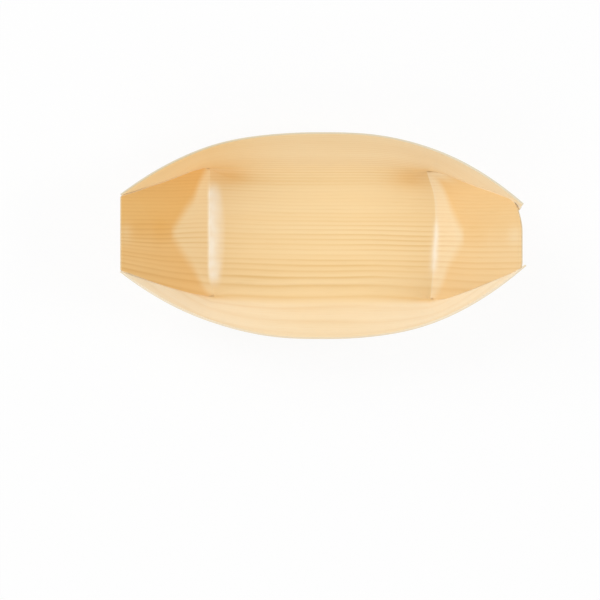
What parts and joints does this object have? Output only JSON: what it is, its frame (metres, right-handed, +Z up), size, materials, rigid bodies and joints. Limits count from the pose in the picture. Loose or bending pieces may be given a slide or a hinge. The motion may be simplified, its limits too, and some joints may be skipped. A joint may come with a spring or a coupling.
{
  "type": "food tray",
  "caption": "Boat-shaped throw-away food tray folded from pine veneer, with flared side walls, raised end panels and glued corner gussets.",
  "frame": {"origin": "middle of the underside, on the surface that the tray stands on", "axes": "+X along the tray, +Y across it to the rear wall, +Z up"},
  "size_m": [0.09, 0.046, 0.02],
  "materials": {
    "veneer": "bare sliced pine, fine straight grain, slight sheen",
    "glue": "thin film of set glue"
  },
  "bodies": {
    "root": {"floor_panel": "veneer", "front_side_wall": "veneer", "rear_side_wall": "veneer", "left_end_panel": "veneer", "right_end_panel": "veneer", "left_front_gusset_inner_ply": "veneer", "left_front_gusset_outer_ply": "veneer", "left_rear_gusset_inner_ply": "veneer", "left_rear_gusset_outer_ply": "veneer", "right_front_gusset_inner_ply": "veneer", "right_front_gusset_outer_ply": "veneer", "right_rear_gusset_inner_ply": "veneer", "right_rear_gusset_outer_ply": "veneer", "left_panel_glue": "glue", "left_lap_glue": "glue", "right_panel_glue": "glue", "right_lap_glue": "glue"}
  },
  "joints": []
}
